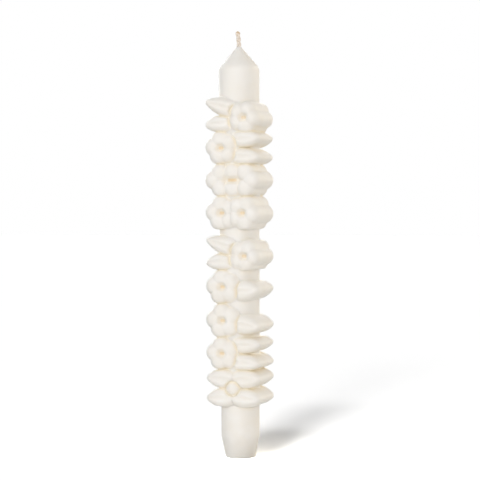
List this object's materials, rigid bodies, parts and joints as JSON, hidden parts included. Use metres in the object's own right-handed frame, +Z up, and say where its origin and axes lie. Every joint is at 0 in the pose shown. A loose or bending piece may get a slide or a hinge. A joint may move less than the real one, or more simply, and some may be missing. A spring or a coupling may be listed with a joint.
{
  "type": "taper candle",
  "caption": "Ivory taper candle with a tapered foot, a pointed tip, a plaited cotton wick and a garland of plump wax blossoms and leaves along its shaft.",
  "frame": {"origin": "centre of the flat base, on the shaft's axis", "axes": "+Z up along the shaft to the wick, -Y the garland's front, +X to the right as seen from the front"},
  "size_m": [0.033, 0.03, 0.2416],
  "materials": {
    "wax": "satin ivory paraffin wax, slightly see-through at thin edges",
    "cotton": "plaited undyed cotton, lightly waxed"
  },
  "bodies": {
    "root": {"wax_shaft": "wax", "whorl_bud": "wax", "whorl_leaf_1": "wax", "whorl_leaf_2": "wax", "whorl_leaf_3": "wax", "whorl_leaf_4": "wax", "pair_1_blossom": "wax", "pair_1_leaf_low": "wax", "pair_1_leaf_high": "wax", "pair_2_blossom": "wax", "pair_2_leaf_low": "wax", "pair_2_leaf_high": "wax", "single_1_blossom": "wax", "single_1_leaf": "wax", "single_2_blossom": "wax", "single_2_leaf": "wax", "spray_1_blossom": "wax", "spray_1_leaf_low": "wax", "spray_1_leaf_high": "wax", "spray_2_blossom": "wax", "spray_2_leaf_low": "wax", "spray_2_leaf_high": "wax", "twin_blossom_left": "wax", "twin_blossom_right": "wax", "wide_blossom": "wax", "wick_strand_1": "cotton", "wick_strand_2": "cotton", "wick_strand_3": "cotton"}
  },
  "joints": []
}
